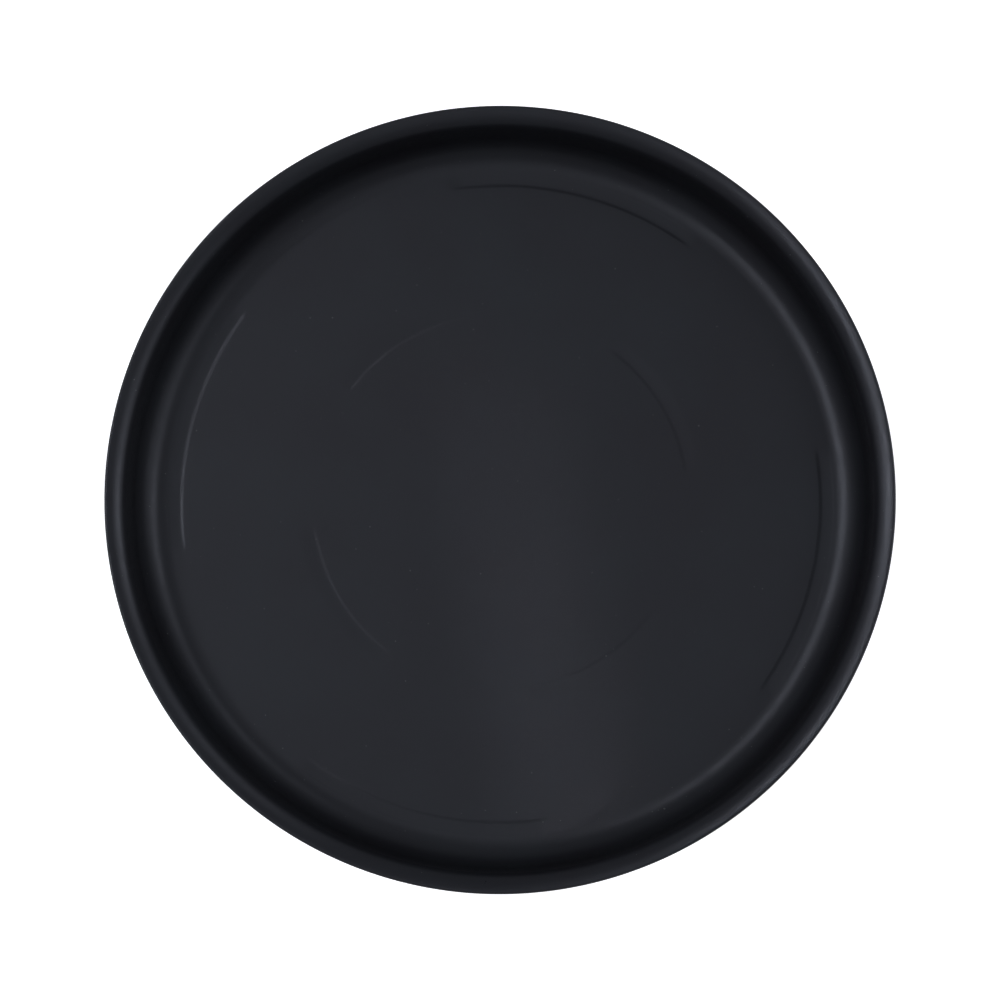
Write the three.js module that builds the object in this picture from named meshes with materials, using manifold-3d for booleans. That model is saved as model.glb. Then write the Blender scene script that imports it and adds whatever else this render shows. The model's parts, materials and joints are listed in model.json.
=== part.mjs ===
// Plant pot caddy: a round moulded deck with a raised rim, standing on four twin-wheel
// swivel casters. Millimetres, +Z up. The origin is on the ground under the deck's centre,
// the front is towards -Y, and the casters trail towards the rear (+Y).
import * as THREE from 'three';
import { mergeVertices } from 'three/addons/utils/BufferGeometryUtils.js';
import Module from 'manifold-3d';

const wasm = await Module();
wasm.setup();

// ---------------------------------------------------------------- driving dimensions

// Deck
const DECK_DIAMETER = 400;
const RIM_TOP = 102; // ground to the highest line of the rim
const PLATE_TOP = 66; // ground to the face that the pot stands on
const SKIRT_BOTTOM = 36;
const WALL = 3; // the moulding's general wall thickness
const SKIRT_WALL = 2.8;
const SKIRT_DRAFT = 0.8; // how much narrower the skirt is at the rim than at its foot
const COVE_RADIUS = 16; // where the plate curves up into the rim
const RIM_WALL_TILT = 85; // degrees from level, as the two tilts below
const CREST_RADIUS = 6.5;
const CREST_TILT = 32; // where the crest's tight curve meets the lip's wide one
const LIP_RADIUS = 19;
const LIP_TILT = 13; // of the lip where its edge begins
const EDGE_RADIUS = 1.2;
const RIB_WALL = 2.5; // the lobed wall under the plate
const LOBE_RADIUS = 166;
const BAY_RADIUS = 97.6;
const THIN_RIB = 2;
const BOSS_RADIUS = 11;
const GROOVE_DEPTH = 7; // rim top to the top of the groove behind the rim wall
const DECK_SEGMENTS = 60;

// Casters
const CORNERS = [
  ['rear_right', 45],
  ['rear_left', 135],
  ['front_left', 225],
  ['front_right', 315],
];
const CASTER_CIRCLE = 145; // radius of the circle through the four swivel axes
const WHEEL_RADIUS = 19;
const WHEEL_WIDTH = 12;
const TRAIL = 16; // swivel axis to axle
const STEM_RADIUS = 4;
const COLLAR_RADIUS = 7;
const AXLE_RADIUS = 3;
const WEB_WIDTH = 11;
const HOOD_SHELL = 2.2;
const RUNNING_FIT = 0.1; // radial, stem in hood and axle in wheel
const PLAY = 0.3; // between faces that stand against each other
const ROUND_SEGMENTS = 16;
const WHEEL_SEGMENTS = 20;

// ---------------------------------------------------------------- derived dimensions

const degrees = THREE.MathUtils.degToRad;
const PLATE_UNDERSIDE = PLATE_TOP - WALL;
const PLATE_MIDDLE = PLATE_TOP - WALL / 2;
const LOBE_HALF_ANGLE = 22.5;
const LOBE_COUNT = 4;
const LOBE_PITCH = 360 / LOBE_COUNT;

const HOOD_TOP = 42.5;
const COLLAR_BOTTOM = HOOD_TOP + PLAY;
const COLLAR_TOP = COLLAR_BOTTOM + 1.4;
const BOSS_BOTTOM = COLLAR_TOP + PLAY;
const SOCKET_TOP = PLATE_TOP - 3.6;
const SOCKET_RADIUS = STEM_RADIUS + 0.6;
const STEM_TOP = SOCKET_TOP - 0.8;
const STEM_HOLE_BOTTOM = 22;
const STEM_SOCKET_FLOOR = 2; // the hood's wall under the stem hole
const STEM_BOTTOM = STEM_HOLE_BOTTOM + PLAY;
const SNAP_HEIGHT = 25.5; // middle of the bead that keeps the hood on its stem
const SNAP_RADIUS = 3.2;
const RING_MIDDLE = 57.3;
const RING_GROOVE = 3.4; // height of the grip ring's groove
const RING_GROOVE_RADIUS = 3.3;

const WHEEL_GAP = 0.7; // web to wheel
const WHEEL_INNER_FACE = WEB_WIDTH / 2 + WHEEL_GAP;
const WHEEL_BORE_DEPTH = 9.4;
const AXLE_LENGTH = 2 * (WHEEL_INNER_FACE + WHEEL_BORE_DEPTH - 0.4);
const HOOD_INNER_RADIUS = WHEEL_RADIUS + 1.2;
const HOOD_RADIUS = HOOD_INNER_RADIUS + HOOD_SHELL;
const HOOD_WIDTH = 2 * (WHEEL_INNER_FACE + WHEEL_WIDTH);
const HOOD_OVERHANG = 8; // degrees that the hood reaches below axle level

// ---------------------------------------------------------------- shape helpers

function arc(centreX, centreY, radius, from, to, steps) {
  return Array.from({ length: steps + 1 }, (_, i) => {
    const angle = degrees(from + ((to - from) * i) / steps);
    return new THREE.Vector2(centreX + radius * Math.cos(angle), centreY + radius * Math.sin(angle));
  });
}

const point = (x, y) => new THREE.Vector2(x, y);

// A profile of (radius, height) points turned about Z.
function turned(profile, segments) {
  return new THREE.LatheGeometry(profile, segments).rotateX(Math.PI / 2);
}

// An outline in XY raised from one height to another.
function raised(shape, bottom, top, curveSegments = 4) {
  const options = { depth: top - bottom, bevelEnabled: false, curveSegments };
  return new THREE.ExtrudeGeometry(shape, options).translate(0, 0, bottom);
}

function upright(radius, bottom, top, x = 0, y = 0) {
  const geometry = new THREE.CylinderGeometry(radius, radius, top - bottom, ROUND_SEGMENTS);
  return geometry.rotateX(Math.PI / 2).translate(x, y, (bottom + top) / 2);
}

// A straight vertical rib at an angle about Z, from one radius to another.
function radialRib(angle, from, to, bottom, top) {
  const geometry = new THREE.BoxGeometry(to - from, THIN_RIB, top - bottom);
  return geometry.translate((from + to) / 2, 0, (bottom + top) / 2).rotateZ(degrees(angle));
}

function toSolid(geometry) {
  const bare = geometry.clone();
  bare.deleteAttribute('normal');
  bare.deleteAttribute('uv');
  const merged = mergeVertices(bare);
  const corners = merged.index.array;
  const triVerts = [];
  for (let i = 0; i < corners.length; i += 3) {
    const [a, b, c] = corners.slice(i, i + 3);
    if (a !== b && b !== c && c !== a) triVerts.push(a, b, c);
  }
  const vertProperties = new Float32Array(merged.attributes.position.array);
  return new wasm.Manifold(
    new wasm.Mesh({ numProp: 3, vertProperties, triVerts: new Uint32Array(triVerts) }),
  );
}

function toGeometry(solid) {
  const { vertProperties, triVerts } = solid.getMesh();
  const geometry = new THREE.BufferGeometry();
  geometry.setAttribute('position', new THREE.BufferAttribute(vertProperties, 3));
  geometry.setIndex(new THREE.BufferAttribute(triVerts, 1));
  geometry.computeVertexNormals();
  return geometry;
}

const joined = (geometries) => geometries.map(toSolid).reduce((whole, piece) => whole.add(piece));

// ---------------------------------------------------------------- materials

const plastic = (color, roughness) => new THREE.MeshStandardMaterial({ color, roughness, metalness: 0 });
const steel = new THREE.MeshStandardMaterial({ color: 0xb4b6b8, roughness: 0.35, metalness: 1 });
const deckPlastic = plastic(0x1b1c1f, 0.5);
const hoodPlastic = plastic(0x18191b, 0.45);
const wheelPlastic = plastic(0x141415, 0.38);

// ---------------------------------------------------------------- deck

// A convex arc of the rim that ends at a point; tilts are the surface's, from level.
function arcEnding(end, radius, startTilt, endTilt, steps) {
  const turn = degrees(90 + endTilt);
  const centreX = end.x - radius * Math.cos(turn);
  const centreY = end.y - radius * Math.sin(turn);
  return arc(centreX, centreY, radius, 90 + startTilt, 90 + endTilt, steps);
}

// The rim from the top of its steep wall, over the crest and the lip, down to the skirt.
function rimOutline() {
  const edgeCentreX = DECK_DIAMETER / 2 - SKIRT_DRAFT - EDGE_RADIUS;
  const edgeCentreY = RIM_TOP - EDGE_RADIUS;
  const edge = [
    ...arc(edgeCentreX, edgeCentreY, EDGE_RADIUS, 90 + LIP_TILT, 90, 1),
    ...arc(edgeCentreX, edgeCentreY, EDGE_RADIUS, 45, 0, 1),
  ];
  const lip = arcEnding(edge[0], LIP_RADIUS, CREST_TILT, LIP_TILT, 2);
  const crest = arcEnding(lip[0], CREST_RADIUS, RIM_WALL_TILT, CREST_TILT, 3);
  return [...crest, ...lip.slice(1), ...edge.slice(1)];
}

// Radius of the flat plate: the rim wall's foot less the cove.
function plateRadius() {
  const tilt = degrees(RIM_WALL_TILT);
  const wallTop = rimOutline()[0];
  const wallHeight = wallTop.y - PLATE_TOP - COVE_RADIUS * (1 - Math.cos(tilt));
  return wallTop.x - wallHeight / Math.tan(tilt) - COVE_RADIUS * Math.sin(tilt);
}

const PLATE_RADIUS = plateRadius();

// An arc about the cove's centre, from below the plate's edge up to the rim wall.
function coveArc(radius, steps) {
  return arc(PLATE_RADIUS, PLATE_TOP + COVE_RADIUS, radius, -90, RIM_WALL_TILT - 90, steps);
}

function deckShell() {
  const outerRadius = DECK_DIAMETER / 2;
  const grooveTop = RIM_TOP - GROOVE_DEPTH;
  const underCove = coveArc(COVE_RADIUS + WALL, 4).reverse();
  const wallTop = underCove[0].x + (grooveTop - underCove[0].y) / Math.tan(degrees(RIM_WALL_TILT));
  const skirtShare = (grooveTop - SKIRT_BOTTOM) / (RIM_TOP - SKIRT_BOTTOM);
  const section = [
    point(0, PLATE_TOP),
    ...coveArc(COVE_RADIUS, 5),
    ...rimOutline(),
    point(outerRadius, SKIRT_BOTTOM),
    point(outerRadius - SKIRT_WALL, SKIRT_BOTTOM),
    point(outerRadius - SKIRT_WALL - SKIRT_DRAFT * skirtShare, grooveTop),
    point(wallTop, grooveTop),
    ...underCove,
    point(0, PLATE_UNDERSIDE),
  ];
  return turned(section.reverse(), DECK_SEGMENTS);
}

// Everything below the middle of the deck's wall, used to trim ribs to the shell.
function underDeckSpace() {
  const outerRadius = DECK_DIAMETER / 2 - SKIRT_WALL / 2;
  const coveTop = coveArc(COVE_RADIUS + WALL / 2, 4).reverse();
  const section = [
    point(0, SKIRT_BOTTOM),
    point(outerRadius, SKIRT_BOTTOM),
    point(outerRadius - SKIRT_DRAFT, coveTop[0].y),
    ...coveTop,
    point(0, PLATE_MIDDLE),
  ];
  return turned(section, DECK_SEGMENTS);
}

// The lobed outline moved outwards by half a wall, or inwards when it is negative.
function lobedPath(path, offset) {
  const lean = (radius) => Math.asin(offset / radius);
  for (let lobe = 0; lobe < LOBE_COUNT; lobe += 1) {
    const middle = degrees(lobe * LOBE_PITCH);
    const half = degrees(LOBE_HALF_ANGLE);
    const nextLobe = middle + degrees(LOBE_PITCH);
    const lobeRadius = LOBE_RADIUS + offset;
    const bayRadius = BAY_RADIUS + offset;
    const lobeEnd = half + lean(lobeRadius);
    const bayStart = half + lean(bayRadius);
    path.absarc(0, 0, lobeRadius, middle - lobeEnd, middle + lobeEnd, false);
    path.absarc(0, 0, bayRadius, middle + bayStart, nextLobe - bayStart, false);
  }
  path.closePath();
  return path;
}

function lobedWall() {
  const shape = lobedPath(new THREE.Shape(), RIB_WALL / 2);
  shape.holes.push(lobedPath(new THREE.Path(), -RIB_WALL / 2));
  return raised(shape, SKIRT_BOTTOM, PLATE_MIDDLE);
}

function deckRibs() {
  const skirtRadius = DECK_DIAMETER / 2 - 1;
  const crossRibBottom = 50;
  const bossRibBottom = 48;
  const shortRibBottom = 42;
  const ribs = [];
  for (let lobe = 0; lobe < LOBE_COUNT; lobe += 1) {
    const middle = lobe * LOBE_PITCH;
    const bay = middle + LOBE_PITCH / 2;
    ribs.push(radialRib(middle, 0, LOBE_RADIUS, crossRibBottom, PLATE_MIDDLE));
    for (const side of [-15, 0, 15]) {
      ribs.push(radialRib(middle + side, LOBE_RADIUS, skirtRadius, shortRibBottom, RIM_TOP));
    }
    ribs.push(radialRib(bay, BAY_RADIUS, skirtRadius, bossRibBottom, RIM_TOP));
    const reach = 2 * CASTER_CIRCLE * Math.sin(degrees(LOBE_HALF_ANGLE));
    const crosswise = new THREE.BoxGeometry(THIN_RIB, reach, PLATE_MIDDLE - bossRibBottom);
    crosswise.translate(CASTER_CIRCLE, 0, (PLATE_MIDDLE + bossRibBottom) / 2);
    ribs.push(crosswise.rotateZ(degrees(bay)));
  }
  return joined(ribs).intersect(toSolid(underDeckSpace()));
}

function deckGeometry() {
  const swivelAxes = CORNERS.map(([, angle]) => [
    CASTER_CIRCLE * Math.cos(degrees(angle)),
    CASTER_CIRCLE * Math.sin(degrees(angle)),
  ]);
  const bosses = swivelAxes.map(([x, y]) => upright(BOSS_RADIUS, BOSS_BOTTOM, PLATE_MIDDLE, x, y));
  const sockets = swivelAxes.map(([x, y]) => upright(SOCKET_RADIUS, BOSS_BOTTOM - 1, SOCKET_TOP, x, y));
  const body = joined([deckShell(), lobedWall(), ...bosses]).add(deckRibs());
  return toGeometry(body.subtract(joined(sockets)));
}

// ---------------------------------------------------------------- caster pieces
// Each is built about its swivel axis on the ground, facing +X with the axle behind it.

function stemGeometry() {
  const chamfer = 0.6;
  const snapHalf = 1;
  const grooveBottom = RING_MIDDLE - RING_GROOVE / 2;
  const grooveTop = RING_MIDDLE + RING_GROOVE / 2;
  return turned([
    point(0, STEM_BOTTOM),
    point(STEM_RADIUS - chamfer, STEM_BOTTOM),
    point(STEM_RADIUS, STEM_BOTTOM + chamfer),
    point(STEM_RADIUS, SNAP_HEIGHT - snapHalf),
    point(SNAP_RADIUS, SNAP_HEIGHT - snapHalf),
    point(SNAP_RADIUS, SNAP_HEIGHT + snapHalf),
    point(STEM_RADIUS, SNAP_HEIGHT + snapHalf),
    point(STEM_RADIUS, COLLAR_BOTTOM),
    point(COLLAR_RADIUS, COLLAR_BOTTOM),
    point(COLLAR_RADIUS, COLLAR_TOP),
    point(STEM_RADIUS, COLLAR_TOP),
    point(STEM_RADIUS, grooveBottom),
    point(RING_GROOVE_RADIUS, grooveBottom),
    point(RING_GROOVE_RADIUS, grooveTop),
    point(STEM_RADIUS, grooveTop),
    point(STEM_RADIUS, STEM_TOP - chamfer),
    point(STEM_RADIUS - chamfer, STEM_TOP),
    point(0, STEM_TOP),
  ], ROUND_SEGMENTS);
}

// The split spring ring that grips the socket.
function gripRingGeometry() {
  const innerRadius = RING_GROOVE_RADIUS + 0.15;
  const outerRadius = SOCKET_RADIUS - 0.2;
  const split = degrees(20); // half the ring's opening
  const height = RING_GROOVE - 0.6;
  const shape = new THREE.Shape();
  shape.absarc(0, 0, outerRadius, split, 2 * Math.PI - split, false);
  shape.absarc(0, 0, innerRadius, 2 * Math.PI - split, split, true);
  shape.closePath();
  return raised(shape, RING_MIDDLE - height / 2, RING_MIDDLE + height / 2, 7);
}

// A shape drawn in the caster's side view (X forward, Z up), widened across Y.
function sideways(shape, width, curveSegments) {
  const flat = raised(shape, -width / 2, width / 2, curveSegments);
  return flat.rotateX(Math.PI / 2);
}

function hoodGeometry() {
  const front = degrees(-HOOD_OVERHANG);
  const back = Math.PI + degrees(HOOD_OVERHANG);
  const hubRadius = 8;

  const fender = new THREE.Shape();
  fender.absarc(-TRAIL, WHEEL_RADIUS, HOOD_RADIUS, front, back, false);
  fender.absarc(-TRAIL, WHEEL_RADIUS, HOOD_INNER_RADIUS, back, front, true);
  fender.closePath();

  const web = new THREE.Shape();
  web.absarc(-TRAIL, WHEEL_RADIUS, HOOD_RADIUS - HOOD_SHELL / 2, front, back, false);
  web.absarc(-TRAIL, WHEEL_RADIUS, hubRadius, back, 2 * Math.PI + front, false);
  web.closePath();

  const bossBottom = HOOD_TOP - 6.5;
  const boss = upright(COLLAR_RADIUS, bossBottom, HOOD_TOP);
  // The column round the stem is as thick as the web, so that it passes between the wheels.
  const column = upright(WEB_WIDTH / 2, STEM_HOLE_BOTTOM - STEM_SOCKET_FLOOR, bossBottom + 1);
  const beadHalf = 0.5;
  const beadRadius = SNAP_RADIUS + PLAY;
  const holeRadius = STEM_RADIUS + RUNNING_FIT;
  const stemHole = turned([
    point(0, STEM_HOLE_BOTTOM),
    point(holeRadius, STEM_HOLE_BOTTOM),
    point(holeRadius, SNAP_HEIGHT - beadHalf),
    point(beadRadius, SNAP_HEIGHT - beadHalf),
    point(beadRadius, SNAP_HEIGHT + beadHalf),
    point(holeRadius, SNAP_HEIGHT + beadHalf),
    point(holeRadius, HOOD_TOP + 1),
    point(0, HOOD_TOP + 1),
  ], ROUND_SEGMENTS);
  const axleHole = new THREE.CylinderGeometry(
    AXLE_RADIUS + RUNNING_FIT, AXLE_RADIUS + RUNNING_FIT, WEB_WIDTH + 2, ROUND_SEGMENTS,
  ).translate(-TRAIL, 0, WHEEL_RADIUS);

  const fenderAndWeb = [sideways(fender, HOOD_WIDTH, 8), sideways(web, WEB_WIDTH, 6)];
  const body = joined([...fenderAndWeb, boss, column]);
  return toGeometry(body.subtract(toSolid(stemHole)).subtract(toSolid(axleHole)));
}

function axleGeometry() {
  const half = AXLE_LENGTH / 2;
  const chamfer = 0.4;
  return new THREE.LatheGeometry([
    point(0, -half),
    point(AXLE_RADIUS - chamfer, -half),
    point(AXLE_RADIUS, -half + chamfer),
    point(AXLE_RADIUS, half - chamfer),
    point(AXLE_RADIUS - chamfer, half),
    point(0, half),
  ], ROUND_SEGMENTS);
}

// A wheel with its blind bore opening at the inner face and its outer face dished round a hub.
function wheelGeometry() {
  const shoulder = 2;
  const rimRadius = WHEEL_RADIUS - shoulder - 1.5;
  const hubRadius = 6.5;
  const dish = 1.4;
  return new THREE.LatheGeometry([
    point(0, WHEEL_BORE_DEPTH),
    point(AXLE_RADIUS + RUNNING_FIT, WHEEL_BORE_DEPTH),
    point(AXLE_RADIUS + RUNNING_FIT, 0),
    point(WHEEL_RADIUS - shoulder / 2, 0),
    point(WHEEL_RADIUS, shoulder / 2),
    ...arc(WHEEL_RADIUS - shoulder, WHEEL_WIDTH - shoulder, shoulder, 0, 90, 2),
    point(rimRadius, WHEEL_WIDTH),
    point(rimRadius - dish / 2, WHEEL_WIDTH - dish),
    point(hubRadius + dish / 2, WHEEL_WIDTH - dish),
    point(hubRadius, WHEEL_WIDTH - dish / 2),
    point(0, WHEEL_WIDTH - dish / 2),
  ], WHEEL_SEGMENTS);
}

// ---------------------------------------------------------------- assembly

function piece(name, geometry, material) {
  const mesh = new THREE.Mesh(geometry, material);
  mesh.name = name;
  return mesh;
}

const shapes = {
  stem: stemGeometry(),
  gripRing: gripRingGeometry(),
  hood: hoodGeometry(),
  axle: axleGeometry(),
  wheel: wheelGeometry(),
};

function caster(corner) {
  const name = (what) => `${corner}_caster_${what}`;
  const axle = piece(name('axle'), shapes.axle, steel);
  axle.position.set(-TRAIL, 0, WHEEL_RADIUS);
  // Facing forwards, +Y is the left-hand side.
  const leftWheel = piece(name('left_wheel'), shapes.wheel, wheelPlastic);
  leftWheel.position.set(-TRAIL, WHEEL_INNER_FACE, WHEEL_RADIUS);
  const rightWheel = piece(name('right_wheel'), shapes.wheel, wheelPlastic);
  rightWheel.position.set(-TRAIL, -WHEEL_INNER_FACE, WHEEL_RADIUS);
  rightWheel.rotation.z = Math.PI;
  const group = new THREE.Group();
  group.add(
    piece(name('stem'), shapes.stem, steel),
    piece(name('grip_ring'), shapes.gripRing, steel),
    piece(name('hood'), shapes.hood, hoodPlastic),
    axle,
    leftWheel,
    rightWheel,
  );
  return group;
}

const caddy = new THREE.Group();
caddy.add(piece('deck', deckGeometry(), deckPlastic));
for (const [corner, angle] of CORNERS) {
  const group = caster(corner);
  const x = CASTER_CIRCLE * Math.cos(degrees(angle));
  const y = CASTER_CIRCLE * Math.sin(degrees(angle));
  group.position.set(x, y, 0);
  group.rotation.z = -Math.PI / 2;
  caddy.add(group);
}

export default caddy;
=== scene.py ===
import json
import math

import bmesh
import bpy
import numpy as np
from mathutils import Matrix, Vector


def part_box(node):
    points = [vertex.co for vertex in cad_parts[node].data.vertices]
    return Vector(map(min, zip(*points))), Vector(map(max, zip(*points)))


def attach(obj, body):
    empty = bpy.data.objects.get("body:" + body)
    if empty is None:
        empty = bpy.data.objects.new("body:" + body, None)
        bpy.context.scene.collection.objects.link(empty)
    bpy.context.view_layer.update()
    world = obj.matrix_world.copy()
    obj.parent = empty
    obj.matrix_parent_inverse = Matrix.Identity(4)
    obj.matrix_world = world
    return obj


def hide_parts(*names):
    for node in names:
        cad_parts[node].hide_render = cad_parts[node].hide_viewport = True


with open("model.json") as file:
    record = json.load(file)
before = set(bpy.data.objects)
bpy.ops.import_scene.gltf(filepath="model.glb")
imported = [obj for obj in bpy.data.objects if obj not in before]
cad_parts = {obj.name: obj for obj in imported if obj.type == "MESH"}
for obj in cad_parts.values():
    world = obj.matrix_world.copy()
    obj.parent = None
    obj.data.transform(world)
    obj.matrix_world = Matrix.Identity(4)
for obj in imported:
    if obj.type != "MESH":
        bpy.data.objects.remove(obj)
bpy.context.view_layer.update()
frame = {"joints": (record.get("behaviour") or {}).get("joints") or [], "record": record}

MM = 0.001
SHARP_FROM = 32.0  # degrees between two faces from which their edge stays crisp

# ---------------------------------------------------------------- places from the frame

record = frame["record"]
deck_low, deck_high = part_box("deck")
DECK_RADIUS = deck_high.x
RIM_TOP = deck_high.z
SKIRT_FOOT = deck_low.z
PLATE_TOP = next(m for m in record["mounts"] if m["name"] == "pot_rest")["pos_m"][2]
SWIVELS = {
    j["name"].removesuffix("_swivel"): Vector(j["pos_m"])
    for j in frame["joints"]
    if j["name"].endswith("_swivel")
}

# ---------------------------------------------------------------- deck dimensions

COVE_RADIUS = 16 * MM  # where the plate curves up into the rim
RIM_WALL_TILT = 85.0  # degrees from level
CREST_RADIUS = 6.5 * MM
LIP_RADIUS = 19 * MM
CREST_TILT = 32.0  # where the crest's tight curve meets the lip's wide one
LIP_TILT = 13.0  # of the lip where its edge begins
EDGE_RADIUS = 1.2 * MM
SKIRT_DRAFT = 0.8 * MM
SKIRT_WALL = 2.8 * MM
WALL = 3 * MM  # the moulding's general wall thickness
RIM_GROOVE_DEPTH = 7 * MM  # rim top to the top of the groove behind the rim wall
FOOT_ROUNDING = 0.8 * MM  # along both edges of the skirt's foot
DECK_SEGMENTS = 480

LOBES = 4
LOBE_RADIUS = 166 * MM
BAY_RADIUS = 97.6 * MM
LOBE_HALF_ANGLE = 22.5  # degrees
LOBE_WALL = 2.5 * MM
THIN_RIB = 2 * MM
RIB_ROUNDING = 0.6 * MM
RIB_ROOT_EXTRA = 0.25 * MM  # how much thicker each side of a rib is at its root
SHORT_RIB_ANGLES = (-15, 0, 15)  # degrees from the middle of a lobe
CASTER_CIRCLE = math.hypot(*next(iter(SWIVELS.values())).xy)
BOSS_RADIUS = 11 * MM
BOSS_ROUNDING = 0.8 * MM
BOSS_ROOT_EXTRA = 0.4 * MM
SOCKET_RADIUS = 4.6 * MM
SOCKET_LEAD = 0.8 * MM  # chamfer at the socket's mouth
SOCKET_TOP = PLATE_TOP - 3.6 * MM
CROSS_RIB_FOOT = 50 * MM
BAY_RIB_FOOT = 48 * MM
SHORT_RIB_FOOT = 42 * MM

# ---------------------------------------------------------------- caster dimensions
# Each caster is built about its own swivel axis: X across, Y the way it trails, Z up.

MODEL_CASTER = "rear_right"
FIT_GAP = 0.3 * MM  # between faces that meet along the stem


def caster_box(piece):
    """Lowest and highest corners of a caster's CAD piece, from its swivel axis on the ground."""
    axis = SWIVELS[MODEL_CASTER].xy.to_3d()
    return [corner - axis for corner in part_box(f"{MODEL_CASTER}_caster_{piece}")]


wheel_low, wheel_high = caster_box("left_wheel")
stem_low, stem_high = caster_box("stem")
ring_low, ring_high = caster_box("grip_ring")
_, hood_high = caster_box("hood")
_, axle_high = caster_box("axle")
WHEEL_RADIUS = (wheel_high.z - wheel_low.z) / 2
WHEEL_INNER_FACE = wheel_low.x
WHEEL_WIDTH = wheel_high.x - wheel_low.x
AXLE_CENTRE = (wheel_low + wheel_high).yz / 2
AXLE_HALF_LENGTH = axle_high.x
AXLE_RADIUS = 3 * MM
BORE_RADIUS = 3.1 * MM
BORE_DEPTH = 9.4 * MM
HUB_RADIUS = 6.5 * MM
HOOD_HALF_WIDTH = hood_high.x
HOOD_INNER_RADIUS = WHEEL_RADIUS + 1.2 * MM
HOOD_SHELL = 2.2 * MM
HOOD_OVERHANG = 8.0  # degrees that the hood reaches below axle level
HOOD_HUB_RADIUS = 8 * MM
WEB_HALF_WIDTH = 5.5 * MM
STEM_RADIUS = 4 * MM
STEM_HOLE_RADIUS = 4.1 * MM
STEM_HOLE_BOTTOM = stem_low.z - FIT_GAP
STEM_HOLE_FLOOR = 2 * MM  # the hood's wall under the stem hole
COLLAR_RADIUS = stem_high.x
COLLAR_BOTTOM = hood_high.z + FIT_GAP
COLLAR_TOP = COLLAR_BOTTOM + 1.4 * MM
SNAP_HEIGHT = 25.5 * MM  # middle of the groove that the hood snaps into
SNAP_RADIUS = 3.2 * MM
SNAP_HALF_HEIGHT = 1 * MM
RING_GROOVE_RADIUS = 3.3 * MM
RING_GROOVE = (ring_low.z - FIT_GAP, ring_high.z + FIT_GAP)
HOOD_BOSS_HEIGHT = 6.5 * MM
SPOKES = 6
PIN_SEGMENTS = 48
TURNED_SEGMENTS = 64
WHEEL_SEGMENTS = 120

# ---------------------------------------------------------------- mesh helpers


def new_object(name, vertices, faces):
    mesh = bpy.data.meshes.new(name)
    mesh.from_pydata([tuple(v) for v in vertices], [], faces)
    mesh.validate()
    obj = bpy.data.objects.new(name, mesh)
    bpy.context.scene.collection.objects.link(obj)
    return obj


def polar(radius, degrees):
    return radius * math.cos(math.radians(degrees)), radius * math.sin(math.radians(degrees))


def arc(centre_x, centre_y, radius, start, end, steps):
    """Points on an arc, both ends included; angles in degrees."""
    angles = np.radians(np.linspace(start, end, steps + 1))
    return [(centre_x + radius * math.cos(a), centre_y + radius * math.sin(a)) for a in angles]


def lathe(name, profile, segments, height_change=None):
    """A closed solid turned about Z from (radius, height) points that start and end on the axis.

    height_change gives the lift of a ring of points from its radius, height and angles.
    """
    angles = np.arange(segments) * (2 * math.pi / segments)
    cosines, sines = np.cos(angles), np.sin(angles)
    vertices, rings = [], []
    for radius, height in profile:
        start = len(vertices)
        if radius < 1e-9:
            vertices.append((0.0, 0.0, height))
            rings.append([start])
            continue
        lift = height_change(radius, height, angles) if height_change else np.zeros(segments)
        vertices.extend(zip(radius * cosines, radius * sines, height + lift))
        rings.append(list(range(start, start + segments)))
    faces = []
    for low, high in zip(rings, rings[1:]):
        for i in range(segments):
            k = (i + 1) % segments
            if len(low) == 1:
                faces.append((low[0], high[k], high[i]))
            elif len(high) == 1:
                faces.append((low[i], low[k], high[0]))
            else:
                faces.append((low[i], low[k], high[k], high[i]))
    return new_object(name, vertices, faces)


def extruded(name, outline, low, high, matrix):
    """A closed outline in XY raised from low to high, then placed by a matrix."""
    count = len(outline)
    vertices = [matrix @ Vector((x, y, z)) for z in (low, high) for x, y in outline]
    sides = [(i, (i + 1) % count, (i + 1) % count + count, i + count) for i in range(count)]
    faces = [tuple(reversed(range(count))), tuple(range(count, 2 * count)), *sides]
    return new_object(name, vertices, faces)


def swept_ring(name, loops):
    """A closed solid through closed loops of equally many points, the last joined to the first."""
    count = len(loops[0])
    vertices = [Vector(p) for loop in loops for p in loop]
    faces = []
    for a in range(len(loops)):
        b = (a + 1) % len(loops)
        for i in range(count):
            k = (i + 1) % count
            faces.append((a * count + i, a * count + k, b * count + k, b * count + i))
    return new_object(name, vertices, faces)


def swept_arc(name, section, centre, start, end, steps):
    """A closed section of (x, radius) points swept about an X line through centre."""
    count = len(section)
    vertices, faces = [], []
    for angle in np.linspace(start, end, steps + 1):
        y, z = polar(1.0, angle)
        vertices.extend(
            (x, centre[0] + radius * y, centre[1] + radius * z) for x, radius in section
        )
    for step in range(steps):
        for i in range(count):
            k = (i + 1) % count
            a, b = step * count, (step + 1) * count
            faces.append((a + i, a + k, b + k, b + i))
    faces += end_caps(count, steps)
    return outward(new_object(name, vertices, faces))


def end_caps(count, steps):
    """The two flat ends of a sweep of that many steps of a section of count points."""
    return [tuple(range(count)), tuple(steps * count + i for i in reversed(range(count)))]


def along_x(obj, start, centre, flipped=False):
    """Lays a piece turned about Z on an X line through centre; flipped, it points towards -X."""
    turn = Matrix.Rotation(math.radians(-90 if flipped else 90), 4, "Y")
    obj.data.transform(Matrix.Translation((-start if flipped else start, *centre)) @ turn)
    return obj


def applied(obj):
    """Replaces an object's mesh by the result of its modifiers."""
    depsgraph = bpy.context.evaluated_depsgraph_get()
    mesh = bpy.data.meshes.new_from_object(obj.evaluated_get(depsgraph))
    obj.modifiers.clear()
    obj.data = mesh
    return obj


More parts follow.
